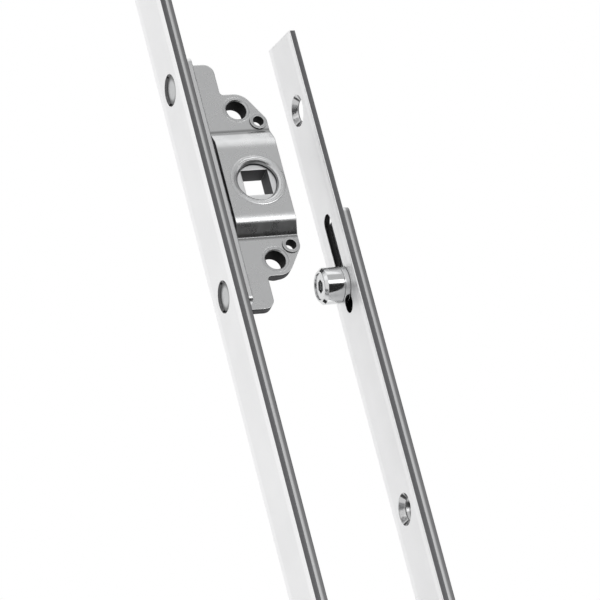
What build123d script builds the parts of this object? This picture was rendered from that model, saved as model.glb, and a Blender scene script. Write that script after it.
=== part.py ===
from build123d import *
import os
from math import acos, atan, cos, pi, radians, sin, sqrt, tan

# An espagnolette window lock in two lengths, set side by side: the gearbox length, with its pinion for
# the handle's spindle, and the end length, with its locking cam.
# Frame: origin on the spindle's axis, in the faceplates' middle plane. +Z runs up along the bars,
# +Y goes into the sash and +X faces the side that the handle is fitted from. All sizes are in mm.

# Faceplates and the drive rods that slide behind them
bar_width = 16.0
plate_thickness = 1.5
plate_edge_round = 0.35
rod_width = 15.0
rod_thickness = 1.8
rod_corner_round = 2.0
slide_gap = 0.05
backset = 15.0
bar_spacing = 32.0

# Heights along the bars, from the spindle, and what the rods leave free at the screws
gearbox_plate_top = 97.0
gearbox_plate_bottom = -151.0
gearbox_screw_inset = 11.0
rod_top_gap = 5.85
rod_bottom_gap = 12.0
end_plate_top = 43.8
end_plate_skew = 3.6
end_plate_overrun = 8.0
end_rod_top = -10.2
end_rod_overrun = 13.55
end_free_screw_height = 21.5
end_rod_screw_height = -91.3

# Countersunk holes in the faceplates, for screws and fixing studs alike, and what clears them
screw_hole_diameter = 5.6
countersink_diameter = 8.2
countersink_angle = 90.0
slot_clearance = 0.2
slot_run_out = 0.6
coupling_hole_diameter = 4.0
coupling_hole_inset = 6.0

# Handle side: the square for the spindle and the two handle screws
spindle_square = 7.0
spindle_clearance = 0.1
handle_screw_spacing = 43.0
handle_screw_diameter = 5.2
screw_bush_diameter = 7.0
screw_bush_length = 4.6
bush_mouth_chamfer = 0.3

# Rack and pinion
tooth_count = 16
sector_teeth = 7
rack_teeth = 6
pressure_angle = 20.0
addendum = 1.23
dedendum = 1.57
backlash = 0.12
rack_web = 0.96
rack_width = 3.2
gear_thickness = 2.6
handle_turn = 90.0
hub_diameter = 10.2
hub_shoulder_diameter = 12.4
hub_setback = 1.2
hub_back_stand = 0.3
shoulder_gap = 0.1
bearing_gap = 0.05

# Pressed case: two shells of sheet, back to back, bulged apart over the pinion
sheet = 1.2
case_middle = 1.2
bulge_height = 2.0
bulge_run = 3.4
tooth_tip_gap = 0.17
bend_radius = 1.1
case_inner_edge = 6.4
lug_depth = 11.7
lug_corner_round = 2.6
lug_end_margin = 5.4
screw_lobe_radius = 4.5
eyelet_lobe_radius = 2.4
step_round = 1.0
hub_collar_depth = 1.8
hub_collar_round = 1.1
mouth_facets = 12

# Base strip behind the rod, which carries the shells on staked tabs
strip_width = 14.0
strip_thickness = 1.2
strip_gap = 0.1
strip_corner_round = 1.5
rack_window_gap = 0.35
foot_gap = 0.4
tab_inset = 0.5
tab_length = 2.8
tab_notch_web = 0.46

# Fasteners of the case
fixing_recess = 0.5
fixing_tail_diameter = 6.8
fixing_tail_height = 1.0
tail_clearance = 0.25
eyelet_depth = 19.85
eyelet_diameter = 3.6
eyelet_bore = 2.8
eyelet_rim_diameter = 4.4
eyelet_rim_height = 0.3
eyelet_foot_gap = 0.75
eyelet_bush_gap = 0.25

# Locking cam of the end length
cam_height = -28.7
cam_diameter = 9.2
cam_projection = 6.6
cam_bevel = 0.8
collar_thickness = 1.3
cam_gap = 0.1
stud_diameter = 5.0
stud_neck_diameter = 4.5
stud_head_diameter = 6.6
stud_head_thickness = 1.0
stud_head_recess = 0.3
stud_tail_diameter = 6.6
stud_tail_thickness = 0.8
stud_socket_across = 3.0
stud_socket_depth = 1.8
cam_slot_clearance = 0.15
cam_slot_end_gap = 0.3
cam_slot_run_out = 5.2

# Depths of the bars (Y), worked out from the values above
gearbox_front = -backset
end_front = gearbox_front + bar_spacing
rod_inset = plate_thickness + slide_gap
strip_front = gearbox_front + rod_inset + rod_thickness + strip_gap
strip_back = strip_front + strip_thickness

# Rack and pinion: the pitch line lies where the rack's web and teeth leave it
pitch_radius = backset - rod_inset - rack_web - dedendum
tooth_pitch = 2 * pi * pitch_radius / tooth_count
root_radius = pitch_radius - dedendum
tip_radius = pitch_radius + addendum
rod_travel = pitch_radius * radians(handle_turn)
rack_top = tooth_pitch
rack_bottom = rack_top - rack_teeth * tooth_pitch
window_reach = max(rack_top + rod_travel, -rack_bottom) + rack_window_gap

# Levels across the case (X)
lug_face = case_middle + sheet
lug_back = case_middle - sheet
cover_face = lug_face + bulge_height
cover_back = lug_back - bulge_height
collar_end = cover_face - hub_collar_depth
case_span = cover_face - cover_back

# Heights of the case (Z): the bulge clears the teeth's tips, and the tabs clear the rack's travel
handle_screw_height = handle_screw_spacing / 2
bulge_slope = bulge_height / bulge_run
slope_start = tip_radius - (bulge_height - gear_thickness / 2 - tooth_tip_gap) / bulge_slope
bulge_top = slope_start + sheet / 2 * tan(atan(bulge_slope) / 2)
bulge_foot = bulge_top + bulge_run
foot_low = window_reach + foot_gap
tail_reach = fixing_tail_diameter / 2 + tail_clearance
fixing_height = foot_low + tab_inset + tab_length + tab_notch_web + tail_reach
case_top = fixing_height + lug_end_margin

# The eyelets lie just past the bulge's foot, and no nearer to the screw bushes than their gap
eyelet_height = bulge_foot + eyelet_foot_gap + eyelet_rim_diameter / 2
eyelet_reach = (screw_bush_diameter + eyelet_rim_diameter) / 2 + eyelet_bush_gap
eyelet_least = sqrt(max(0, eyelet_reach**2 - (handle_screw_height - eyelet_height) ** 2))
eyelet_place = max(gearbox_front + eyelet_depth, eyelet_least)

# Depths of the case (Y)
hub_bore_diameter = hub_diameter + 2 * bearing_gap
case_open_edge = gearbox_front + case_inner_edge
case_far_edge = eyelet_place + eyelet_lobe_radius
lug_edge = gearbox_front + lug_depth

# Screws and ends of the bars (Z)
upper_screw_height = gearbox_plate_top - gearbox_screw_inset
lower_screw_height = gearbox_plate_bottom + gearbox_screw_inset
gearbox_rod_top = upper_screw_height - rod_travel - rod_top_gap
gearbox_rod_bottom = lower_screw_height + rod_bottom_gap
end_rod_bottom = end_rod_screw_height - rod_travel - end_rod_overrun
end_plate_bottom = end_rod_bottom - end_plate_overrun

# Levels of the locking cam (Y), from the rod's back forward to its head
end_rod_back = end_front + rod_inset + rod_thickness
collar_back = end_front - cam_gap
collar_front = collar_back - collar_thickness
roller_back = collar_front - cam_gap
roller_front = end_front - cam_projection
head_front = roller_front + stud_head_recess
head_back = head_front + stud_head_thickness

# The cam's slot, from the top of its travel down to its run-out
cam_slot_width = stud_neck_diameter + 2 * cam_slot_clearance
cam_slot_top = cam_height + rod_travel + cam_slot_width / 2 + cam_slot_end_gap
cam_slot_bottom = cam_height - cam_slot_width / 2 - cam_slot_run_out

os.makedirs("parts", exist_ok=True)


def upright(y):
    """The plane across the bars at depth y: X to its right, Z up, its normal to the front."""
    return Plane.XZ.offset(-y)


def plate_outline(top, bottom, skew=0.0):
    """A faceplate's outline from the front. A skew lowers the +X corner of its top end."""
    with BuildSketch(mode=Mode.PRIVATE) as outline:
        with BuildLine():
            Polyline(
                (-bar_width / 2, top),
                (bar_width / 2, top - skew),
                (bar_width / 2, bottom),
                (-bar_width / 2, bottom),
                close=True,
            )
        make_face()
    return outline.sketch


def bar_outline(width, top, bottom, corner_round):
    """The outline of a rod or strip with rounded corners, from the front."""
    with BuildSketch(mode=Mode.PRIVATE) as outline:
        with Locations((0, (top + bottom) / 2)):
            RectangleRounded(width, top - bottom, corner_round)
    return outline.sketch


def round_front_edges(plate):
    """Round a faceplate's long front edges, as rolled strip has them. Its ends stay as sheared."""
    front = plate.faces().sort_by(Axis.Y)[0]
    fillet(front.edges().filter_by(Axis.Z), radius=plate_edge_round)


def plate_screw_holes(front, heights):
    """Countersunk holes through a faceplate whose front is at depth front."""
    with Locations(upright(front)):
        with Locations(*[(0, height, 0) for height in heights]):
            CounterSinkHole(
                radius=screw_hole_diameter / 2,
                counter_sink_radius=countersink_diameter / 2,
                depth=plate_thickness,
                counter_sink_angle=countersink_angle,
            )


def travel_slot(height):
    """A rod's slot, which lets it rise by its travel past the stud or screw at this height."""
    width = screw_hole_diameter + 2 * slot_clearance
    with Locations((0, height - rod_travel / 2)):
        SlotOverall(
            rod_travel + width + 2 * slot_run_out,
            width,
            rotation=90,
            mode=Mode.SUBTRACT,
        )


def turned(profile, height):
    """Turn a profile of (radius, depth) points about the axis that runs along Y at this height."""
    with BuildSketch(Plane.XY.offset(height)) as half:
        with BuildLine():
            Polyline(*profile, close=True)
        make_face()
    revolve(half.sketch, axis=Axis((0, 0, height), (0, 1, 0)))


def ring(outer_diameter, inner_diameter, centre, x_from, x_to):
    """A ring along X, from x_from to x_to, round a centre given as depth and height."""
    with BuildSketch(Plane.YZ.offset(x_from)) as section:
        with Locations(centre):
            Circle(outer_diameter / 2)
            Circle(inner_diameter / 2, mode=Mode.SUBTRACT)
    extrude(section.sketch, amount=x_to - x_from)


def involute_tooth():
    """One pinion tooth on the X axis, from inside the root circle to the tip circle."""
    base_radius = pitch_radius * cos(radians(pressure_angle))
    pitch_half_angle = (tooth_pitch / 2 - backlash) / (2 * pitch_radius)
    pitch_involute = tan(radians(pressure_angle)) - radians(pressure_angle)

    def flank_point(radius):
        roll = acos(min(1, base_radius / radius))
        half_angle = pitch_half_angle + pitch_involute - (tan(roll) - roll)
        return radius * cos(half_angle), radius * sin(half_angle)

    flank_foot = max(base_radius, root_radius)
    flank = [flank_point(radius) for radius in (flank_foot, (flank_foot + tip_radius) / 2, tip_radius)]
    other_flank = [(x, -y) for x, y in reversed(flank)]
    root = root_radius - dedendum / 2
    root_half_width = flank[0][1]
    with BuildSketch(mode=Mode.PRIVATE) as tooth:
        with BuildLine():
            ThreePointArc(*flank)
            ThreePointArc(flank[-1], (tip_radius, 0), other_flank[0])
            ThreePointArc(*other_flank)
            Polyline(other_flank[-1], (root, -root_half_width), (root, root_half_width), flank[0])
        make_face()
    return tooth.sketch


def bulged_sheet(side):
    """A shell's bent sheet at full length: flat lugs at its ends and the bulge over the pinion."""
    lug_level = case_middle + side * sheet / 2
    bulge_level = lug_level + side * bulge_height
    with BuildSketch(upright(case_far_edge)) as section:
        with BuildLine() as fold:
            FilletPolyline(
                (lug_level, -case_top),
                (lug_level, -bulge_foot),
                (bulge_level, -bulge_top),
                (bulge_level, bulge_top),
                (lug_level, bulge_foot),
                (lug_level, case_top),
                radius=bend_radius,
            )
        trace(fold.line, line_width=sheet)
    extrude(section.sketch, amount=case_far_edge - strip_front)


def case_outline():
    """The shells' common outline, seen from the handle's side, with its holes."""
    shoulder = handle_screw_height + screw_lobe_radius
    with BuildSketch(mode=Mode.PRIVATE) as outline:
        with BuildLine():
            Polyline(
                (case_open_edge, 0),
                (case_open_edge, foot_low),
                (strip_back, foot_low),
                (strip_back, case_top),
                (lug_edge, case_top),
                (lug_edge, shoulder),
                (0, shoulder),
                (0, 0),
                close=True,
            )
        make_face()
        fillet(outline.vertices().sort_by_distance((lug_edge, case_top))[0], radius=lug_corner_round)
        fillet(outline.vertices().sort_by_distance((lug_edge, shoulder))[0], radius=step_round)
        lobes = [
            Edge.make_circle(screw_lobe_radius, Plane((0, handle_screw_height, 0))),
            Edge.make_circle(eyelet_lobe_radius, Plane((eyelet_place, eyelet_height, 0))),
        ]
        make_hull(lobes)
        with Locations((0, 0)):
            Rectangle(case_far_edge, eyelet_height, align=Align.MIN)
        with Locations((strip_back, foot_low + tab_inset)):
            Rectangle(strip_thickness, tab_length, align=(Align.MAX, Align.MIN))
        with Locations((strip_back, fixing_height)):
            Rectangle(
                2 * (fixing_tail_height + tail_clearance),
                2 * tail_reach,
                mode=Mode.SUBTRACT,
            )
        with Locations((0, handle_screw_height)):
            Circle(screw_bush_diameter / 2, mode=Mode.SUBTRACT)
        with Locations((eyelet_place, eyelet_height)):
            Circle(eyelet_diameter / 2, mode=Mode.SUBTRACT)
        Circle(hub_bore_diameter / 2, mode=Mode.SUBTRACT)
        mirror(about=Plane.XZ)
    return outline.sketch


def fixing_stud(height):
    """A turned stud, sunk in the faceplate's countersink and riveted over behind the base strip."""
    seat_slope = tan(radians(countersink_angle / 2))
    head_radius = countersink_diameter / 2 - fixing_recess * seat_slope
    cone_depth = (countersink_diameter - screw_hole_diameter) / 2 / seat_slope
    turned(
        [
            (0, gearbox_front + fixing_recess),
            (head_radius, gearbox_front + fixing_recess),
            (screw_hole_diameter / 2, gearbox_front + cone_depth),
            (screw_hole_diameter / 2, strip_back),
            (fixing_tail_diameter / 2, strip_back),
            (fixing_tail_diameter / 2, strip_back + fixing_tail_height),
            (0, strip_back + fixing_tail_height),
        ],
        height,
    )


# Faceplate of the gearbox length
with BuildPart() as gearbox_faceplate:
    with BuildSketch(upright(gearbox_front)):
        add(plate_outline(gearbox_plate_top, gearbox_plate_bottom))
    extrude(amount=-plate_thickness)
    round_front_edges(gearbox_faceplate)
    plate_screw_holes(
        gearbox_front,
        (upper_screw_height, fixing_height, -fixing_height, lower_screw_height),
    )
gearbox_faceplate.part.label = "gearbox_faceplate"
export_step(gearbox_faceplate.part, "parts/gearbox_faceplate.step")

# Its drive rod, with the rack's window, slots past the fixing studs and holes to couple on more rod
with BuildPart() as gearbox_drive_rod:
    with BuildSketch(upright(gearbox_front + rod_inset)):
        add(bar_outline(rod_width, gearbox_rod_top, gearbox_rod_bottom, rod_corner_round))
        travel_slot(fixing_height)
        travel_slot(-fixing_height)
        with Locations((case_middle, (rack_top + rack_bottom) / 2)):
            Rectangle(rack_width, rack_top - rack_bottom, mode=Mode.SUBTRACT)
        with Locations(
            (0, gearbox_rod_top - coupling_hole_inset),
            (0, gearbox_rod_bottom + coupling_hole_inset),
        ):
            Circle(coupling_hole_diameter / 2, mode=Mode.SUBTRACT)
    extrude(amount=-rod_thickness)
gearbox_drive_rod.part.label = "gearbox_drive_rod"
export_step(gearbox_drive_rod.part, "parts/gearbox_drive_rod.step")

# Rack, set in the rod flush with its front, with its teeth towards the pinion
with BuildPart() as drive_rack:
    with BuildSketch(Plane.YZ.offset(case_middle)):
        flank_slope = tan(radians(pressure_angle))
        root_half = tooth_pitch / 4 + dedendum * flank_slope
        tip_half = tooth_pitch / 4 - addendum * flank_slope
        with Locations((-pitch_radius - dedendum, rack_bottom)):
            Rectangle(rack_web, rack_top - rack_bottom, align=(Align.MAX, Align.MIN))
        for tooth in range(rack_teeth):
            height = rack_bottom + (tooth + 0.5) * tooth_pitch
            with BuildLine():
                Polyline(
                    (-pitch_radius - dedendum, height - root_half),
                    (-pitch_radius + addendum, height - tip_half),
                    (-pitch_radius + addendum, height + tip_half),
                    (-pitch_radius - dedendum, height + root_half),
                    close=True,
                )
            make_face()
    extrude(amount=rack_width / 2, both=True)
drive_rack.part.label = "drive_rack"
export_step(drive_rack.part, "parts/drive_rack.step")

# Pinion: a toothed sector on a hub, which turns in the shells and takes the handle's square spindle
with BuildPart() as pinion:
    with BuildSketch(Plane.YZ.offset(case_middle)):
        tooth_angle = 360 / tooth_count
        first_angle = 180 - tooth_angle
        sector_span = (sector_teeth - 1) * tooth_angle
        rim_margin = tooth_angle / 3
        with BuildLine():
            rim = CenterArc(
                (0, 0),
                root_radius,
                first_angle - rim_margin,
                sector_span + 2 * rim_margin,
            )
            Line(rim @ 1, (0, 0))
            Line((0, 0), rim @ 0)
        make_face()
        with PolarLocations(0, sector_teeth, first_angle, sector_span, endpoint=True):
            add(involute_tooth())
    extrude(amount=gear_thickness / 2, both=True)
    with BuildSketch(Plane.YZ.offset(cover_back + sheet + shoulder_gap)):
        Circle(hub_shoulder_diameter / 2)
    extrude(amount=collar_end - cover_back - sheet - 2 * shoulder_gap)
    with BuildSketch(Plane.YZ.offset(cover_back - hub_back_stand)):
        Circle(hub_diameter / 2)
    extrude(amount=case_span + hub_back_stand - hub_setback)
    with BuildSketch(Plane.YZ):
        Rectangle(spindle_square + spindle_clearance, spindle_square + spindle_clearance)
    extrude(amount=2 * case_span, both=True, mode=Mode.SUBTRACT)
pinion.part.label = "pinion"
export_step(pinion.part, "parts/pinion.step")

# Base strip behind the rod, open for the rack and pierced for the studs and the shells' tabs
with BuildPart() as case_base_strip:
    with BuildSketch(upright(strip_front)):
        add(bar_outline(strip_width, case_top, -case_top, strip_corner_round))
        with Locations((case_middle, 0)):
            Rectangle(rack_width + 2 * rack_window_gap, 2 * window_reach, mode=Mode.SUBTRACT)
        with Locations((0, fixing_height), (0, -fixing_height)):
            Circle(screw_hole_diameter / 2, mode=Mode.SUBTRACT)
        tab_middle = foot_low + tab_inset + tab_length / 2
        with Locations((case_middle, tab_middle), (case_middle, -tab_middle)):
            Rectangle(2 * sheet, tab_length, mode=Mode.SUBTRACT)
    extrude(amount=-strip_thickness)
case_base_strip.part.label = "case_base_strip"
export_step(case_base_strip.part, "parts/case_base_strip.step")

# Front shell, with an inward collar that the pinion's hub turns in
with BuildPart() as case_front_shell:
    bulged_sheet(1)
    with BuildSketch(Plane.YZ):
        add(case_outline())
    extrude(amount=2 * case_span, both=True, mode=Mode.INTERSECT)
    ring(hub_bore_diameter + 2 * sheet, hub_bore_diameter, (0, 0), collar_end, cover_face)
    with BuildSketch(Plane.XY):
        bore_radius = hub_bore_diameter / 2
        with Locations((cover_face, bore_radius)):
            Rectangle(hub_collar_round, hub_collar_round, align=(Align.MAX, Align.MIN))
        with Locations((cover_face - hub_collar_round, bore_radius + hub_collar_round)):
            RegularPolygon(
                hub_collar_round,
                mouth_facets,
                major_radius=False,
                rotation=180 / mouth_facets,
                mode=Mode.SUBTRACT,
            )
    revolve(axis=Axis.X, mode=Mode.SUBTRACT)
case_front_shell.part.label = "case_front_shell"
export_step(case_front_shell.part, "parts/case_front_shell.step")

# Back shell
with BuildPart() as case_back_shell:
    bulged_sheet(-1)
    with BuildSketch(Plane.YZ):
        add(case_outline())
    extrude(amount=2 * case_span, both=True, mode=Mode.INTERSECT)
case_back_shell.part.label = "case_back_shell"
export_step(case_back_shell.part, "parts/case_back_shell.step")

# Bushes that take the handle's screws
with BuildPart() as handle_screw_bush_upper:
    ring(
        screw_bush_diameter,
        handle_screw_diameter,
        (0, handle_screw_height),
        lug_face - screw_bush_length,
        lug_face,
    )
    mouth = handle_screw_bush_upper.edges().group_by(Axis.X)[-1].sort_by(SortBy.RADIUS)[0]
    chamfer(mouth, length=bush_mouth_chamfer)
handle_screw_bush_upper.part.label = "handle_screw_bush_upper"
export_step(handle_screw_bush_upper.part, "parts/handle_screw_bush_upper.step")

with BuildPart() as handle_screw_bush_lower:
    add(mirror(handle_screw_bush_upper.part, about=Plane.XY, mode=Mode.PRIVATE))
handle_screw_bush_lower.part.label = "handle_screw_bush_lower"
export_step(handle_screw_bush_lower.part, "parts/handle_screw_bush_lower.step")

# Hollow eyelets that clench the two shells together
with BuildPart() as case_eyelet_upper:
    eyelet_centre = (eyelet_place, eyelet_height)
    ring(eyelet_diameter, eyelet_bore, eyelet_centre, lug_back, lug_face)
    ring(eyelet_rim_diameter, eyelet_bore, eyelet_centre, lug_face, lug_face + eyelet_rim_height)
    ring(eyelet_rim_diameter, eyelet_bore, eyelet_centre, lug_back - eyelet_rim_height, lug_back)
case_eyelet_upper.part.label = "case_eyelet_upper"
export_step(case_eyelet_upper.part, "parts/case_eyelet_upper.step")

with BuildPart() as case_eyelet_lower:
    add(mirror(case_eyelet_upper.part, about=Plane.XY, mode=Mode.PRIVATE))
case_eyelet_lower.part.label = "case_eyelet_lower"
export_step(case_eyelet_lower.part, "parts/case_eyelet_lower.step")

# Studs that fix the base strip to the faceplate, through the rod's slots
with BuildPart() as fixing_stud_upper:
    fixing_stud(fixing_height)
fixing_stud_upper.part.label = "fixing_stud_upper"
export_step(fixing_stud_upper.part, "parts/fixing_stud_upper.step")

with BuildPart() as fixing_stud_lower:
    fixing_stud(-fixing_height)
fixing_stud_lower.part.label = "fixing_stud_lower"
export_step(fixing_stud_lower.part, "parts/fixing_stud_lower.step")

# Faceplate of the end length, with the slot that its cam travels in
with BuildPart() as end_faceplate:
    with BuildSketch(upright(end_front)):
        add(plate_outline(end_plate_top, end_plate_bottom, skew=end_plate_skew))
    extrude(amount=-plate_thickness)
    round_front_edges(end_faceplate)
    with BuildSketch(upright(end_front)):
        with Locations((0, (cam_slot_top + cam_slot_bottom) / 2)):
            SlotOverall(cam_slot_top - cam_slot_bottom, cam_slot_width, rotation=90)
    extrude(amount=-plate_thickness, mode=Mode.SUBTRACT)
    plate_screw_holes(end_front, (end_free_screw_height, end_rod_screw_height))
end_faceplate.part.label = "end_faceplate"
export_step(end_faceplate.part, "parts/end_faceplate.step")

# Its drive rod, which carries the cam's stud
with BuildPart() as end_drive_rod:
    with BuildSketch(upright(end_front + rod_inset)):
        add(bar_outline(rod_width, end_rod_top, end_rod_bottom, rod_corner_round))
        travel_slot(end_rod_screw_height)
        with Locations((0, cam_height)):
            Circle(stud_neck_diameter / 2, mode=Mode.SUBTRACT)
        with Locations((0, end_rod_bottom + coupling_hole_inset)):
            Circle(coupling_hole_diameter / 2, mode=Mode.SUBTRACT)
    extrude(amount=-rod_thickness)
end_drive_rod.part.label = "end_drive_rod"
export_step(end_drive_rod.part, "parts/end_drive_rod.step")

# Cam: a stud riveted into the rod, a fixed collar at its foot and a roller that turns on it
with BuildPart() as cam_stud:
    turned(
        [
            (0, head_front),
            (stud_head_diameter / 2, head_front),
            (stud_head_diameter / 2, head_back),
            (stud_diameter / 2, head_back),
            (stud_diameter / 2, collar_back),
            (stud_neck_diameter / 2, collar_back),
            (stud_neck_diameter / 2, end_rod_back),
            (stud_tail_diameter / 2, end_rod_back),
            (stud_tail_diameter / 2, end_rod_back + stud_tail_thickness),
            (0, end_rod_back + stud_tail_thickness),
        ],
        cam_height,
    )
    with BuildSketch(upright(head_front)):
        with Locations((0, cam_height)):
            RegularPolygon(stud_socket_across / 2, 6, major_radius=False)
    extrude(amount=-stud_socket_depth, mode=Mode.SUBTRACT)
cam_stud.part.label = "cam_stud"
export_step(cam_stud.part, "parts/cam_stud.step")

with BuildPart() as cam_collar:
    turned(
        [
            (stud_diameter / 2, collar_front),
            (cam_diameter / 2, collar_front),
            (cam_diameter / 2, collar_back),
            (stud_diameter / 2, collar_back),
        ],
        cam_height,
    )
cam_collar.part.label = "cam_collar"
export_step(cam_collar.part, "parts/cam_collar.step")

with BuildPart() as cam_roller:
    turned(
        [
            (stud_diameter / 2 + bearing_gap, roller_back),
            (cam_diameter / 2, roller_back),
            (cam_diameter / 2, roller_front + cam_bevel),
            (cam_diameter / 2 - cam_bevel, roller_front),
            (stud_head_diameter / 2 + bearing_gap, roller_front),
            (stud_head_diameter / 2 + bearing_gap, head_back + cam_gap),
            (stud_diameter / 2 + bearing_gap, head_back + cam_gap),
        ],
        cam_height,
    )
cam_roller.part.label = "cam_roller"
export_step(cam_roller.part, "parts/cam_roller.step")
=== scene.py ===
"""Finishes, studio and camera for an espagnolette window lock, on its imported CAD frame."""

import math

import bmesh
import bpy
from bpy.props import FloatProperty, FloatVectorProperty, PointerProperty
from mathutils import Matrix, Vector


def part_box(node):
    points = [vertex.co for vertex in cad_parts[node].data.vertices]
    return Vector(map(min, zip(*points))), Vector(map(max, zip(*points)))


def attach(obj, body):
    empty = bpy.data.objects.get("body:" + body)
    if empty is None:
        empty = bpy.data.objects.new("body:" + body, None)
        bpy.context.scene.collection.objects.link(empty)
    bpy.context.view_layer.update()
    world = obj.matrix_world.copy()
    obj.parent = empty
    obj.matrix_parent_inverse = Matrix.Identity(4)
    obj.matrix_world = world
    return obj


bl_info = {
    "name": "Espagnolette Lock Finishes",
    "version": (1, 0, 0),
    "blender": (4, 5, 0),
    "location": "3D View > Sidebar > Lock",
    "description": "Metal finishes, a studio and a camera for an espagnolette window lock",
    "category": "Material",
}

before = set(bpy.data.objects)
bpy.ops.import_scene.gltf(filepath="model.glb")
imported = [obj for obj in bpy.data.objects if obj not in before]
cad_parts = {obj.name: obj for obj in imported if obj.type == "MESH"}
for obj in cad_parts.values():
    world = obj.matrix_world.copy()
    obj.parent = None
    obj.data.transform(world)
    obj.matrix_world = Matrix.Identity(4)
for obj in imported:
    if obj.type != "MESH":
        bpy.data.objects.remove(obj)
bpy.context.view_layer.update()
MM = 0.001
WHITE = (1.0, 1.0, 1.0, 1.0)

FACEPLATES = ("gearbox_faceplate", "end_faceplate")
RODS = ("gearbox_drive_rod", "end_drive_rod", "drive_rack")
PINION = ("pinion",)
CASE = ("case_front_shell", "case_back_shell")
STRIP = ("case_base_strip",)
BUSHES = ("handle_screw_bush_upper", "handle_screw_bush_lower")
EYELETS = ("case_eyelet_upper", "case_eyelet_lower")
FIXING_STUDS = ("fixing_stud_upper", "fixing_stud_lower")
CAM = ("cam_roller", "cam_collar", "cam_stud")

# Lengths in millimetres. A pair says where a change begins and where it ends.
BAR_SPACING = 32.0
BULGE_CREST = 11.55
BULGE_FOOT = 14.9
BEND_HALF = 0.45
# Band of painted shade along the foot of the case's bulge
FOOT_SHADE_BAND = (0.4, 1.1)
# Band where a highlight is painted along the faceplates' long edges
PLATE_EDGE_HIGHLIGHT = (5.2, 6.4)
PLATE_OUTER_EDGE = (6.6, 7.0)
PLATE_TORN = (17.9, 18.3)
ROD_TORN = (19.1, 19.7)
STUD_SEAT = (4.5, 5.0)
GEARBOX_TO_END = (-1.0, 1.0)
SOCKET_WALL = (3.7, 3.9)

# Shares from 0 to 1, in the same pairs
WALL_FACING = (0.3, 0.6)
PLATE_WALL_FACING = (0.3, 0.5)
COUNTERSINK_FACING = (0.8, 0.93)
ROD_SIDE_FACING = (0.6, 0.9)
EDGE_TURN = (0.01, 0.2)
OPENNESS = (0.1, 0.75)
# Where painted shade darkens the fixing studs' heads towards their rims
STUD_RIM_SHADE = (0.26, 0.44)

SCALE_COLOUR = (0.3, 0.3, 0.31, 1.0)
# Colour of the highlight painted along the faceplates' long edges
EDGE_HIGHLIGHT_COLOUR = (0.98, 0.98, 0.985, 1.0)
# Share of a finish's colour that is kept where shade is painted
PAINTED_SHADE_SHARE = 0.12
RAY_SAMPLES = 8
OPENNESS_REACH = 4 * MM
GRAIN_DEPTH = 0.05 * MM
RING_SCALE = 8.0

BEAD_TURNS = 96
BEAD_STEPS = 10
FLOOR_ROUGHNESS = 0.9
FLOOR_GLOW = 0.9
SENSOR_WIDTH = 36.0
FAR_CLIP = 200.0


def opaque(colour):
    """A colour with full alpha."""
    return (*colour, 1.0)


# Nodes


class Wire:
    """One output of a node. Arithmetic on it, with numbers or other wires, adds Math nodes."""

    def __init__(self, nodes, socket):
        self.nodes = nodes
        self.socket = socket

    def __add__(self, other):
        return self.nodes.math("ADD", self, other)

    def __radd__(self, other):
        return self.nodes.math("ADD", other, self)

    def __sub__(self, other):
        return self.nodes.math("SUBTRACT", self, other)

    def __rsub__(self, other):
        return self.nodes.math("SUBTRACT", other, self)

    def __mul__(self, other):
        return self.nodes.math("MULTIPLY", self, other)

    def __rmul__(self, other):
        return self.nodes.math("MULTIPLY", other, self)

    def __pow__(self, other):
        return self.nodes.math("POWER", self, other)

    def __abs__(self):
        return self.nodes.math("ABSOLUTE", self)


class Nodes:
    """The node tree of a material or of the world."""

    def __init__(self, owner):
        owner.use_nodes = True
        self.tree = owner.node_tree
        self.tree.nodes.clear()

    def node(self, kind, settings=None, sockets=None, output=0):
        """Add a node, set its settings, then its sockets' values or links. Return an output."""
        made = self.tree.nodes.new(kind)
        for name, setting in (settings or {}).items():
            setattr(made, name, setting)
        for name, value in (sockets or {}).items():
            if isinstance(value, Wire):
                self.tree.links.new(value.socket, made.inputs[name])
            else:
                made.inputs[name].default_value = value
        return Wire(self, made.outputs[output]) if made.outputs else None

    def math(self, operation, *values):
        """Arithmetic on numbers or wires."""
        return self.node("ShaderNodeMath", {"operation": operation}, dict(enumerate(values)))

    def ramp(self, value, low, high):
        """0 up to low and 1 from high, with a smooth step between them."""
        return self.node(
            "ShaderNodeMapRange",
            {"interpolation_type": "SMOOTHSTEP"},
            {"Value": value, "From Min": low, "From Max": high},
        )

    def mix(self, factor, first, second):
        """A colour between two colours."""
        return self.node(
            "ShaderNodeMix", {"data_type": "RGBA"}, {0: factor, 6: first, 7: second}, output=2
        )

    def vector(self, operation, first, second):
        """Arithmetic on two vectors."""
        return self.node("ShaderNodeVectorMath", {"operation": operation}, {0: first, 1: second})

    def split(self, vector):
        """The three parts of a vector."""
        parts = self.node("ShaderNodeSeparateXYZ", None, {0: vector})
        return [Wire(self, socket) for socket in parts.socket.node.outputs]

    def noise(self, place, scale, detail=3.0, roughness=0.5):
        """A soft cloud of values round one half."""
        return self.node(
            "ShaderNodeTexNoise",
            None,
            {"Vector": place, "Scale": scale, "Detail": detail, "Roughness": roughness},
        )


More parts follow.
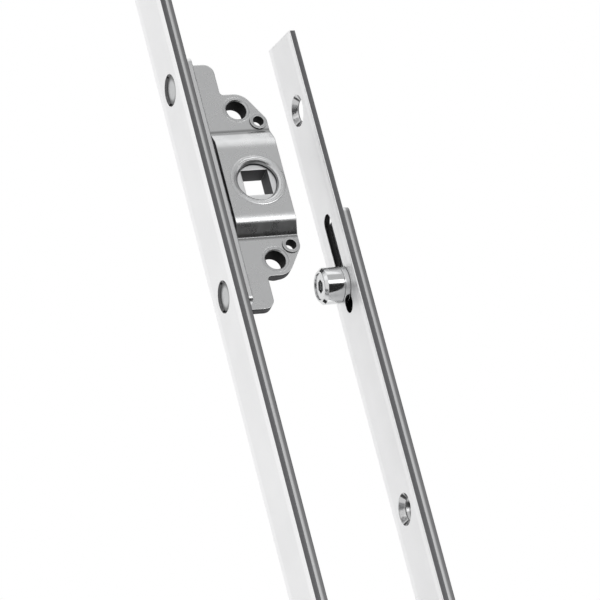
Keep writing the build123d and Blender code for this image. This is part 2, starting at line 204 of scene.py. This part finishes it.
class MetalFinish(Nodes):
    """A bare or plated metal, with worn edges and painted shade darkening its recesses."""

    def __init__(self, name, settings):
        self.material = bpy.data.materials.new(name)
        super().__init__(self.material)
        self.settings = settings
        self.colour = opaque(settings.colour)
        self.round_normal = self.node(
            "ShaderNodeBevel", {"samples": RAY_SAMPLES}, {"Radius": settings.edge_round}
        )
        true_normal = self.node("ShaderNodeNewGeometry", output="Normal")
        alike = self.node(
            "ShaderNodeVectorMath",
            {"operation": "DOT_PRODUCT"},
            {0: self.round_normal, 1: true_normal},
            output="Value",
        )
        self.edge = self.ramp(1.0 - alike, *EDGE_TURN)
        # Painted shade: ambient occlusion finds the recesses, whose colour is later darkened
        openness = self.node(
            "ShaderNodeAmbientOcclusion",
            {"samples": RAY_SAMPLES},
            {"Distance": OPENNESS_REACH},
            output="AO",
        )
        self.recess_shade_mask = 1.0 - self.ramp(openness, *OPENNESS)

    def place(self):
        """Where a point lies in the part, in millimetres."""
        coordinates = self.node("ShaderNodeTexCoord", output="Object")
        return self.vector("MULTIPLY", coordinates, (1 / MM, 1 / MM, 1 / MM))

    def facing(self):
        """How far a surface faces along each axis, from 0 to 1."""
        normal = self.node("ShaderNodeTexCoord", output="Normal")
        return [abs(part) for part in self.split(normal)]

    def lengthwise_grain(self, place):
        """Fine drawn lines along the bars."""
        stretched = self.vector("MULTIPLY", place, (1.0, 1.0, 0.02))
        return 0.6 * self.noise(stretched, 7.0, detail=2.0) + 0.4 * self.noise(stretched, 2.2)

    def radius(self, across, along):
        """How far a point lies from an axis, from two coordinates that are measured across it."""
        return (across * across + along * along) ** 0.5

    def turned_grain(self, radius):
        """Fine turned rings round an axis."""
        rings = self.node("ShaderNodeCombineXYZ", None, {"X": radius})
        return self.noise(rings, 9.0, detail=2.0)

    def between(self, value, low, high):
        """A value that is kept between two limits."""
        return self.node("ShaderNodeClamp", None, {"Value": value, "Min": low, "Max": high})

    def rolled_crest(self, before, width, turn):
        """The fall that rolls the flat over before a crest's middle, all in millimetres."""
        flat_side = self.between((BEND_HALF + width) - before, 0.0, width)
        in_bend = self.between(BEND_HALF + before, 0.0, 2 * BEND_HALF)
        steep = math.tan(turn)
        flat_fall = (flat_side**2.0) * (steep / (2 * width))
        bend_fall = (in_bend**2.0) * (steep / (4 * BEND_HALF))
        return bend_fall - flat_fall

    def emboss(self, height):
        """Press the surface into a relief whose height is given in millimetres."""
        self.round_normal = self.node(
            "ShaderNodeBump",
            None,
            {"Strength": 1.0, "Distance": MM, "Height": height, "Normal": self.round_normal},
        )

    def surface(self, colour, roughness, height):
        """Finish the material, from a colour, a roughness and a height of its fine grain."""
        worn = self.mix(self.edge * self.settings.edge_wear, colour, self.bright())
        # Painted shade: the recesses are darkened towards the painted shade colour
        with_recess_shade = self.mix(self.recess_shade_mask * self.settings.recess_dulling, worn, self.painted_shade())
        grained = self.node(
            "ShaderNodeBump",
            None,
            {
                "Strength": self.settings.grain,
                "Distance": GRAIN_DEPTH,
                "Height": height,
                "Normal": self.round_normal,
            },
        )
        shader = self.node(
            "ShaderNodeBsdfPrincipled",
            None,
            {
                "Base Color": with_recess_shade,
                "Metallic": self.settings.metallic,
                "Roughness": roughness,
                "Normal": grained,
            },
        )
        self.node("ShaderNodeOutputMaterial", None, {"Surface": shader})
        return self.material

    def bright(self):
        """The finish where it is rubbed bright."""
        return opaque(min(1.0, 0.35 + 0.65 * part) for part in self.settings.colour)

    def shade(self, share):
        """The finish's colour, darkened to a share of itself."""
        return opaque(share * part for part in self.settings.colour)

    def painted_shade(self):
        """The finish's colour, darkened to paint shade into it."""
        return self.shade(PAINTED_SHADE_SHARE)


def dress(names, material):
    """Give CAD nodes a finish."""
    for name in names:
        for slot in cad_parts[name].material_slots:
            slot.material = material


# Settings


def colour_setting(name, value):
    """A colour that the sidebar shows."""
    return FloatVectorProperty(
        name=name, description=f"{name} of the bare finish", subtype="COLOR", size=3,
        min=0.0, max=1.0, default=value,
    )


def share_setting(name, description, value):
    """A number from 0 to 1."""
    return FloatProperty(
        name=name, description=description, subtype="FACTOR", min=0.0, max=1.0, default=value
    )


def length_setting(name, description, value):
    """A length, kept in metres."""
    return FloatProperty(name=name, description=description, unit="LENGTH", min=0.0, default=value)


def metal_settings(colour, roughness, grain, edge_wear, recess_dulling, edge_round, metallic=1.0):
    """The settings that every metal finish has."""
    return {
        "colour": colour_setting("Colour", colour),
        "edge_round": length_setting("Edge Round", "How far its edges are softened", edge_round),
        "metallic": share_setting("Metallic", "How much of it shines as bare metal", metallic),
        "roughness": share_setting("Roughness", "How satin the finish is", roughness),
        "grain": share_setting("Grain", "Strength of the fine grain", grain),
        "edge_wear": share_setting("Edge Wear", "How bright the edges are rubbed", edge_wear),
        # How dark the painted shade in the recesses is
        "recess_dulling": share_setting(
            "Painted Recess Shade", "How dull the recesses are", recess_dulling
        ),
    }


class LockFaceplateSettings(bpy.types.PropertyGroup):
    """Bright plated strip."""

    __annotations__ = {
        **metal_settings((0.95, 0.95, 0.955), 0.48, 0.25, 0.3, 0.7, 0.4 * MM, 0.85),
        "cut_edge_colour": colour_setting("Cut Edge Colour", (0.12, 0.12, 0.125)),
        # The countersink and stud seat colours are painted shade
        "countersink_colour": colour_setting("Countersink Shade Colour", (0.6, 0.6, 0.605)),
        "stud_seat_colour": colour_setting("Stud Seat Shade Colour", (0.1, 0.1, 0.102)),
        # The slot colour is painted shade on the inner walls of the slots and holes
        "slot_colour": colour_setting("Slot Shade Colour", (0.02, 0.02, 0.021)),
    }


class LockRodSettings(bpy.types.PropertyGroup):
    """Plated flat bar, duller than the faceplates."""

    __annotations__ = {
        **metal_settings((0.74, 0.745, 0.75), 0.34, 0.35, 0.2, 0.8, 0.4 * MM),
        "torn_edge_colour": colour_setting("Torn Edge Colour", (0.24, 0.24, 0.245)),
    }


class LockPinionSettings(bpy.types.PropertyGroup):
    """Sintered and plated steel."""

    __annotations__ = {
        **metal_settings((0.86, 0.865, 0.87), 0.38, 0.4, 0.5, 0.4, 0.3 * MM),
        # Painted shade on the walls of the square socket
        "socket_colour": colour_setting("Socket Shade Colour", (0.21, 0.21, 0.215)),
    }


class LockCaseSettings(bpy.types.PropertyGroup):
    """Dull satin galvanised sheet."""

    __annotations__ = {
        **metal_settings((0.66, 0.665, 0.67), 0.28, 0.25, 0.2, 0.55, 0.3 * MM),
        "cut_edge_colour": colour_setting("Cut Edge Colour", (0.1, 0.1, 0.104)),
        "crest_width": length_setting(
            "Crest Width", "How far the flat is rolled over towards the bulge's crests", 2.2 * MM
        ),
        "crest_turn": FloatProperty(
            name="Crest Turn", description="How far the flat turns before it meets a crest",
            subtype="ANGLE", default=math.radians(15.0),
        ),
    }


class LockBeadSettings(bpy.types.PropertyGroup):
    """Low ring that is pressed up round the hub."""

    radius: FloatProperty(
        name="Radius", description="Radius of the ring's crown", unit="LENGTH", default=6.6 * MM
    )
    width: FloatProperty(
        name="Width", description="Width of the ring", unit="LENGTH", default=1.0 * MM
    )
    height: FloatProperty(
        name="Height", description="How far the crown stands up", unit="LENGTH", default=0.09 * MM
    )
    depth: FloatProperty(
        name="Depth", description="How far the ring reaches into the sheet", unit="LENGTH",
        default=0.15 * MM,
    )


class LockStripSettings(bpy.types.PropertyGroup):
    """Galvanised strip behind the drive rod."""

    __annotations__ = metal_settings((0.74, 0.745, 0.75), 0.34, 0.3, 0.3, 0.8, 0.4 * MM)


class LockFastenerSettings(bpy.types.PropertyGroup):
    """Plated turned steel."""

    __annotations__ = {
        **metal_settings((0.56, 0.565, 0.57), 0.3, 0.3, 0.3, 0.8, 0.3 * MM),
        # Painted shade in the bores
        "bore_colour": colour_setting("Bore Shade Colour", (0.03, 0.03, 0.031)),
    }


class LockCamSettings(bpy.types.PropertyGroup):
    """Polished nickel plate."""

    __annotations__ = metal_settings((0.72, 0.725, 0.73), 0.12, 0.12, 0.3, 0.2, 0.3 * MM)


class LockStudioSettings(bpy.types.PropertyGroup):
    """A white studio with soft lamps and grey cards."""

    floor_depth: FloatProperty(
        name="Floor Depth", description="How far the floor lies below the spindle",
        unit="LENGTH", min=0.2, default=3.2,
    )
    floor_size: FloatProperty(
        name="Floor Size", description="Side of the square floor", unit="LENGTH", default=80.0
    )
    floor_colour: FloatVectorProperty(
        name="Floor Colour", description="Colour of the pale floor", subtype="COLOR", size=3,
        min=0.0, max=1.0, default=(0.85, 0.85, 0.85),
    )
    room_light: share_setting(
        "Room Light", "Light of the room on what isn't shiny", 0.7
    )
    lamp_light: FloatProperty(
        name="Lamp Light", description="Brightness of the lamps, where 1 is the white backdrop",
        min=0.0, default=1.0,
    )
    dark_grey: share_setting("Dark Grey", "Grey of the dark cards that the metal reflects", 0.03)
    pale_grey: share_setting("Pale Grey", "Grey of the pale card that the metal reflects", 0.62)


class LockCameraSettings(bpy.types.PropertyGroup):
    """Where the photograph was taken from."""

    eye: FloatVectorProperty(
        name="Eye", description="Place of the camera", subtype="XYZ", unit="LENGTH", size=3,
        default=(1.1926, -0.5082, -0.6620),
    )
    aim: FloatVectorProperty(
        name="Aim", description="Point that the camera looks at", subtype="XYZ", unit="LENGTH",
        size=3, default=(-0.010234, 0.008880, -0.026601),
    )
    roll: FloatProperty(
        name="Roll", description="Turn of the camera about its line of sight", unit="ROTATION",
        default=math.radians(-14.837),
    )
    lens: FloatProperty(
        name="Lens", description="Focal length on a 36 mm sensor", unit="CAMERA", default=352.2
    )


# Finishes


class LOCK_OT_faceplates(bpy.types.Operator):
    """Finish the faceplates in bright plated strip with darker cut edges"""

    bl_idname = "lock.faceplates"
    bl_label = "Faceplates"

    def execute(self, context):
        settings = context.scene.lock_faceplates
        finish = MetalFinish("plated_strip", settings)
        place = finish.place()
        side, depth, height = finish.split(place)
        _, flat, _ = finish.facing()
        grain = finish.lengthwise_grain(place)
        cloud = finish.noise(place, 0.09, detail=4.0)
        scale = finish.noise(place, 1.6, detail=5.0)
        torn = finish.ramp(finish.math("FLOORED_MODULO", depth, BAR_SPACING), *PLATE_TORN)
        cut_colour = finish.mix(
            0.3 * scale + 0.2 * torn, opaque(settings.cut_edge_colour), SCALE_COLOUR
        )
        # Painted shade: the inner walls of the slots and holes are nearly black, while the outer
        # cut edges keep their own darker colour
        inside = 1.0 - finish.ramp(abs(side), *PLATE_OUTER_EDGE)
        cut_edge_and_slot_shade = finish.mix(inside, cut_colour, opaque(settings.slot_colour))
        face = finish.mix(0.3 * cloud + 0.15 * grain, finish.colour, finish.shade(0.84))
        # Painted highlight: a near-white band along both long edges of the face
        with_edge_highlight = finish.mix(finish.ramp(abs(side), *PLATE_EDGE_HIGHLIGHT), face, EDGE_HIGHLIGHT_COLOUR)
        # Painted shade: the countersinks are darker than the face, and nearly black where the
        # fixing studs sit
        sunk = (1.0 - finish.ramp(flat, *COUNTERSINK_FACING)) * inside
        low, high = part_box("fixing_stud_upper")
        stud_height = (low[2] + high[2]) / (2 * MM)
        near_stud = 1.0 - finish.ramp(abs(abs(height) - stud_height), *STUD_SEAT)
        at_stud = near_stud * (1.0 - finish.ramp(depth, *GEARBOX_TO_END))
        countersink_shade = finish.mix(
            at_stud, opaque(settings.countersink_colour), opaque(settings.stud_seat_colour)
        )
        bored = finish.mix(sunk, with_edge_highlight, countersink_shade)
        colour = finish.mix(1.0 - finish.ramp(flat, *PLATE_WALL_FACING), bored, cut_edge_and_slot_shade)
        roughness = settings.roughness + 0.12 * (cloud - 0.5) + 0.1 * (grain - 0.5) - 0.4 * sunk
        dress(FACEPLATES, finish.surface(colour, roughness, grain))
        return {"FINISHED"}


class LOCK_OT_rods(bpy.types.Operator):
    """Finish the drive rods and the rack in plated flat bar"""

    bl_idname = "lock.rods"
    bl_label = "Drive Rods"

    def execute(self, context):
        settings = context.scene.lock_rods
        finish = MetalFinish("drive_rod_plate", settings)
        place = finish.place()
        _, depth, _ = finish.split(place)
        side, _, _ = finish.facing()
        grain = finish.lengthwise_grain(place)
        cloud = finish.noise(place, 0.15, detail=4.0)
        drawn = finish.mix(0.5 * cloud + 0.25 * grain, finish.colour, finish.shade(0.75))
        torn = finish.ramp(finish.math("FLOORED_MODULO", depth, BAR_SPACING), *ROD_TORN)
        colour = finish.mix(
            torn * finish.ramp(side, *ROD_SIDE_FACING), drawn, opaque(settings.torn_edge_colour)
        )
        roughness = settings.roughness + 0.15 * (cloud - 0.5) + 0.15 * (grain - 0.5)
        dress(RODS, finish.surface(colour, roughness, grain))
        return {"FINISHED"}


class LOCK_OT_pinion(bpy.types.Operator):
    """Finish the pinion in sintered and plated steel"""

    bl_idname = "lock.pinion"
    bl_label = "Pinion"

    def execute(self, context):
        settings = context.scene.lock_pinion
        finish = MetalFinish("sintered_steel", settings)
        place = finish.place()
        _, depth, height = finish.split(place)
        pores = finish.noise(place, 5.0, detail=4.0, roughness=0.7)
        rings = finish.turned_grain(finish.radius(depth, height))
        sintered = finish.mix(0.5 * pores, finish.colour, finish.shade(0.65))
        outward, _, _ = finish.facing()
        reach = finish.math("MAXIMUM", abs(depth), abs(height))
        wall = 1.0 - finish.ramp(outward, *WALL_FACING)
        # Painted shade: the walls of the square socket are darkened
        socket = (1.0 - finish.ramp(reach, *SOCKET_WALL)) * wall
        colour = finish.mix(socket, sintered, opaque(settings.socket_colour))
        roughness = settings.roughness + 0.2 * (pores - 0.5) + 0.5 * socket
        dress(PINION, finish.surface(colour, roughness, 0.7 * pores + 0.3 * rings))
        return {"FINISHED"}


class LOCK_OT_case(bpy.types.Operator):
    """Finish the pressed case in galvanised sheet, with painted shade along the foot of its bulge
    """

    bl_idname = "lock.case"
    bl_label = "Case"

    def execute(self, context):
        settings = context.scene.lock_case
        finish = MetalFinish("galvanised_sheet", settings)
        place = finish.place()
        _, _, height = finish.split(place)
        grain = finish.lengthwise_grain(place)
        spangle = finish.node(
            "ShaderNodeTexVoronoi", {"feature": "F1"}, {"Vector": place, "Scale": 0.45},
            output="Color",
        )
        crystal, _, _ = finish.split(spangle)
        cloud = finish.noise(place, 0.2, detail=5.0)
        sheet = finish.mix(
            0.3 * cloud + 0.15 * crystal + 0.15 * grain, finish.colour, finish.shade(0.75)
        )
        outward, _, _ = finish.facing()
        cut = 1.0 - finish.ramp(outward, *WALL_FACING)
        # Painted shade: a dark line along the foot of the bulge
        foot = 1.0 - finish.ramp(abs(abs(height) - BULGE_FOOT), *FOOT_SHADE_BAND)
        with_foot_shade = finish.mix(0.6 * foot, sheet, finish.painted_shade())
        colour = finish.mix(cut, with_foot_shade, opaque(settings.cut_edge_colour))
        roughness = (
            settings.roughness + 0.04 * (crystal - 0.5) + 0.12 * (cloud - 0.5) + 0.4 * cut
        )
        finish.emboss(
            finish.rolled_crest(
                BULGE_CREST - abs(height), settings.crest_width / MM, settings.crest_turn
            )
        )
        dress(CASE, finish.surface(colour, roughness, 0.6 * grain + 0.4 * cloud))
        return {"FINISHED"}


class LOCK_OT_bead(bpy.types.Operator):
    """Press a low ring up round the hub, in the front shell's sheet"""

    bl_idname = "lock.bead"
    bl_label = "Hub Bead"

    def execute(self, context):
        settings = context.scene.lock_bead
        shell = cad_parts["case_front_shell"]
        if not shell.material_slots[0].material:
            raise RuntimeError("The case has to be finished before its bead")
        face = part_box("case_front_shell")[1][0]
        foot = [
            (face - settings.depth, -settings.width / 2),
            (face - settings.depth, settings.width / 2),
        ]
        crown = []
        for step in range(BEAD_STEPS + 1):
            share = step / BEAD_STEPS
            swell = (1 - math.cos(2 * math.pi * share)) / 2
            crown.append((face + settings.height * swell, settings.width * (0.5 - share)))
        profile = foot + crown
        mesh = bpy.data.meshes.new("hub_bead")
        turned = bmesh.new()
        hoops = []
        for turn in range(BEAD_TURNS):
            angle = 2 * math.pi * turn / BEAD_TURNS
            along, up = math.cos(angle), math.sin(angle)
            hoops.append([
                turned.verts.new(
                    (out, (settings.radius + aside) * along, (settings.radius + aside) * up)
                )
                for out, aside in profile
            ])
        for turn, hoop in enumerate(hoops):
            after = hoops[(turn + 1) % BEAD_TURNS]
            for corner in range(len(profile)):
                before = corner - 1
                panel = turned.faces.new(
                    (hoop[before], hoop[corner], after[corner], after[before])
                )
                panel.smooth = corner > len(foot)
        bmesh.ops.recalc_face_normals(turned, faces=turned.faces)
        turned.to_mesh(mesh)
        turned.free()
        mesh.materials.append(shell.material_slots[0].material)
        bead = bpy.data.objects.new("hub_bead", mesh)
        context.scene.collection.objects.link(bead)
        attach(bead, "lock_case")
        return {"FINISHED"}


class LOCK_OT_strip(bpy.types.Operator):
    """Finish the case's base strip in galvanised strip"""

    bl_idname = "lock.strip"
    bl_label = "Base Strip"

    def execute(self, context):
        settings = context.scene.lock_strip
        finish = MetalFinish("galvanised_strip", settings)
        place = finish.place()
        grain = finish.lengthwise_grain(place)
        cloud = finish.noise(place, 0.3, detail=4.0)
        colour = finish.mix(0.5 * cloud + 0.2 * grain, finish.colour, finish.shade(0.72))
        roughness = settings.roughness + 0.15 * (cloud - 0.5)
        dress(STRIP, finish.surface(colour, roughness, grain))
        return {"FINISHED"}


def turned_finish(name, settings, along_y):
    """A turned piece's finish, with rings round the axis that runs along Y or along X."""
    finish = MetalFinish(name, settings)
    box_place = finish.node("ShaderNodeTexCoord", output="Generated")
    side, depth, height = finish.split(box_place)
    across = side if along_y else depth
    finish.radius_share = finish.radius(across - 0.5, height - 0.5)
    finish.rings = finish.turned_grain(RING_SCALE * finish.radius_share)
    finish.cloud = finish.noise(finish.place(), 0.8, detail=4.0)
    finish.turned = finish.mix(0.5 * finish.cloud, finish.colour, finish.shade(0.75))
    finish.satin = (
        settings.roughness + 0.2 * (finish.rings - 0.5) + 0.1 * (finish.cloud - 0.5)
    )
    return finish


class LOCK_OT_fasteners(bpy.types.Operator):
    """Finish the screw bushes, the eyelets and the fixing studs in plated turned steel"""

    bl_idname = "lock.fasteners"
    bl_label = "Fasteners"

    def execute(self, context):
        settings = context.scene.lock_fasteners
        finish = turned_finish("turned_bush", settings, along_y=False)
        outward, _, _ = finish.facing()
        # Painted shade: the bore walls of the bushes and eyelets are nearly black
        bore_shade = 1.0 - finish.ramp(outward, *WALL_FACING)
        colour = finish.mix(bore_shade, finish.turned, opaque(settings.bore_colour))
        roughness = finish.satin + 0.5 * bore_shade
        dress(BUSHES + EYELETS, finish.surface(colour, roughness, finish.rings))

        finish = turned_finish("turned_stud", settings, along_y=True)
        # Painted shade: the stud heads are darkened towards their rims
        rim_shade = finish.ramp(finish.radius_share, *STUD_RIM_SHADE)
        colour = finish.mix(0.9 * rim_shade, finish.turned, finish.painted_shade())
        dress(FIXING_STUDS, finish.surface(colour, finish.satin, finish.rings))
        return {"FINISHED"}


class LOCK_OT_cam(bpy.types.Operator):
    """Finish the locking cam in polished nickel plate"""

    bl_idname = "lock.cam"
    bl_label = "Locking Cam"

    def execute(self, context):
        settings = context.scene.lock_cam
        finish = turned_finish("polished_nickel", settings, along_y=True)
        dress(CAM, finish.surface(finish.turned, finish.satin, finish.rings))
        return {"FINISHED"}


# Studio


def flat_card(name, centre, facing, width, height, material):
    """A flat card that faces a direction, as a piece of the stage."""
    mesh = bpy.data.meshes.new(name)
    corners = bmesh.new()
    bmesh.ops.create_grid(corners, x_segments=1, y_segments=1, size=0.5)
    bmesh.ops.scale(corners, vec=(width, height, 1.0), verts=corners.verts)
    turn = Vector(facing).to_track_quat("Z", "Y").to_matrix().to_4x4()
    bmesh.ops.transform(corners, matrix=Matrix.Translation(centre) @ turn, verts=corners.verts)
    corners.to_mesh(mesh)
    corners.free()
    mesh.materials.append(material)
    card = bpy.data.objects.new(name, mesh)
    bpy.context.scene.collection.objects.link(card)
    return card


def soft_lamp(name, direction, distance, width, height, radiance):
    """A soft rectangular lamp that shines on the part from a direction."""
    lamp = bpy.data.lights.new(name, "AREA")
    lamp.shape = "RECTANGLE"
    lamp.size = width
    lamp.size_y = height
    lamp.energy = radiance * math.pi * width * height
    holder = bpy.data.objects.new(name, lamp)
    towards = Vector(direction).normalized()
    holder.location = towards * distance
    holder.rotation_euler = towards.to_track_quat("Z", "Y").to_euler()
    holder.visible_camera = False
    bpy.context.scene.collection.objects.link(holder)


# Name, direction from the part, distance, width, height, and a card's grey or a lamp's radiance
CARDS = (
    ("low_card", (0.63, 0.355, -0.7), 1.0, 2.4, 1.1, "dark_grey"),
    ("side_card", (-0.8, -0.33, -0.44), 1.3, 0.7, 0.6, "dark_grey"),
    ("top_card", (-0.42, -0.3, 0.86), 1.3, 0.6, 0.5, "dark_grey"),
    ("back_card", (0.05, 0.9, 0.42), 1.2, 1.1, 0.8, "dark_grey"),
    ("wall_card", (0.826, 0.355, 0.437), 1.4, 1.8, 0.9, "pale_grey"),
)
LAMPS = (
    ("low_lamp", (0.93, 0.355, -0.07), 1.3, 0.7, 0.35, 2.2),
    ("high_lamp", (0.22, 0.36, 0.9), 1.2, 1.0, 1.1, 0.3),
    ("rear_lamp", (-0.5, 0.36, -0.78), 1.3, 0.6, 0.6, 0.6),
    ("front_lamp", (0.3, -0.84, 0.45), 1.4, 0.5, 0.5, 0.3),
)


class LOCK_OT_studio(bpy.types.Operator):
    """Set up the floor, the white backdrop, the soft lamps and the grey cards"""

    bl_idname = "lock.studio"
    bl_label = "Studio"

    def execute(self, context):
        settings = context.scene.lock_studio
        scene = context.scene
        scene.view_settings.view_transform = "Standard"

        room = bpy.data.worlds.new("white_room")
        scene.world = room
        nodes = Nodes(room)
        light = nodes.node(
            "ShaderNodeBackground", None, {"Color": WHITE, "Strength": settings.room_light}
        )
        backdrop = nodes.node("ShaderNodeBackground", None, {"Color": WHITE, "Strength": 1.0})
        both = nodes.node(
            "ShaderNodeMixShader", None, {0: self.seen(nodes), 1: light, 2: backdrop}
        )
        nodes.node("ShaderNodeOutputWorld", None, {"Surface": both})

        floor_material = bpy.data.materials.new("pale_floor")
        nodes = Nodes(floor_material)
        matt = nodes.node(
            "ShaderNodeBsdfPrincipled",
            None,
            {"Base Color": opaque(settings.floor_colour), "Roughness": FLOOR_ROUGHNESS},
        )
        glow = nodes.node("ShaderNodeEmission", None, {"Color": WHITE, "Strength": 1.0})
        floor_mix = nodes.node(
            "ShaderNodeMixShader", None, {0: FLOOR_GLOW * self.seen(nodes), 1: matt, 2: glow}
        )
        nodes.node("ShaderNodeOutputMaterial", None, {"Surface": floor_mix})
        side = settings.floor_size
        flat_card(
            "floor", (0, 0, -settings.floor_depth), (0, 0, 1), side, side, floor_material
        )

        for name, direction, distance, width, height, grey in CARDS:
            material = bpy.data.materials.new(name)
            nodes = Nodes(material)
            shade = opaque([getattr(settings, grey)] * 3)
            glow = nodes.node("ShaderNodeEmission", None, {"Color": shade, "Strength": 1.0})
            nodes.node("ShaderNodeOutputMaterial", None, {"Surface": glow})
            towards = Vector(direction).normalized()
            card = flat_card(name, towards * distance, -towards, width, height, material)
            card.visible_camera = False
            card.visible_shadow = False
            card.visible_diffuse = False
        for name, direction, distance, width, height, radiance in LAMPS:
            strength = radiance * settings.lamp_light
            soft_lamp(name, direction, distance, width, height, strength)
        return {"FINISHED"}

    def seen(self, nodes):
        """1 for what the camera sees, straight, reflected or through glass."""
        path = nodes.node("ShaderNodeLightPath").socket.node
        rays = [
            Wire(nodes, path.outputs[name])
            for name in ("Is Camera Ray", "Is Glossy Ray", "Is Transmission Ray")
        ]
        return nodes.math("MINIMUM", rays[0] + rays[1] + rays[2], 1.0)


class LOCK_OT_camera(bpy.types.Operator):
    """Place the camera where the photograph was taken from"""

    bl_idname = "lock.camera"
    bl_label = "Camera"

    def execute(self, context):
        settings = context.scene.lock_camera
        camera = bpy.data.cameras.new("camera")
        camera.sensor_width = SENSOR_WIDTH
        camera.lens = settings.lens
        camera.clip_end = FAR_CLIP
        holder = bpy.data.objects.new("camera", camera)
        eye = Vector(settings.eye)
        look = (Vector(settings.aim) - eye).to_track_quat("-Z", "Y").to_matrix().to_4x4()
        roll = Matrix.Rotation(settings.roll, 4, "Z")
        holder.matrix_world = Matrix.Translation(eye) @ look @ roll
        context.scene.collection.objects.link(holder)
        context.scene.camera = holder
        return {"FINISHED"}


class LOCK_PT_sidebar(bpy.types.Panel):
    """The lock's finishes, studio and camera"""

    bl_idname = "LOCK_PT_sidebar"
    bl_label = "Espagnolette Lock"
    bl_space_type = "VIEW_3D"
    bl_region_type = "UI"
    bl_category = "Lock"

    def draw(self, context):
        for operator, group in STEPS:
            box = self.layout.box()
            box.operator(operator.bl_idname)
            settings = getattr(context.scene, group)
            for name in settings.__annotations__:
                box.prop(settings, name)


STEPS = (
    (LOCK_OT_faceplates, "lock_faceplates"),
    (LOCK_OT_rods, "lock_rods"),
    (LOCK_OT_pinion, "lock_pinion"),
    (LOCK_OT_case, "lock_case"),
    (LOCK_OT_bead, "lock_bead"),
    (LOCK_OT_strip, "lock_strip"),
    (LOCK_OT_fasteners, "lock_fasteners"),
    (LOCK_OT_cam, "lock_cam"),
    (LOCK_OT_studio, "lock_studio"),
    (LOCK_OT_camera, "lock_camera"),
)
GROUPS = {
    "lock_faceplates": LockFaceplateSettings,
    "lock_rods": LockRodSettings,
    "lock_pinion": LockPinionSettings,
    "lock_case": LockCaseSettings,
    "lock_bead": LockBeadSettings,
    "lock_strip": LockStripSettings,
    "lock_fasteners": LockFastenerSettings,
    "lock_cam": LockCamSettings,
    "lock_studio": LockStudioSettings,
    "lock_camera": LockCameraSettings,
}
CLASSES = (*GROUPS.values(), *[operator for operator, _ in STEPS], LOCK_PT_sidebar)


def register():
    for made in CLASSES:
        bpy.utils.register_class(made)
    for name, group in GROUPS.items():
        setattr(bpy.types.Scene, name, PointerProperty(type=group))


def unregister():
    for name in GROUPS:
        delattr(bpy.types.Scene, name)
    for made in reversed(CLASSES):
        bpy.utils.unregister_class(made)


def main():
    register()
    for operator, _ in STEPS:
        step = getattr(bpy.ops.lock, operator.bl_idname.split(".")[1])
        step()


if __name__ == "__main__":
    main()
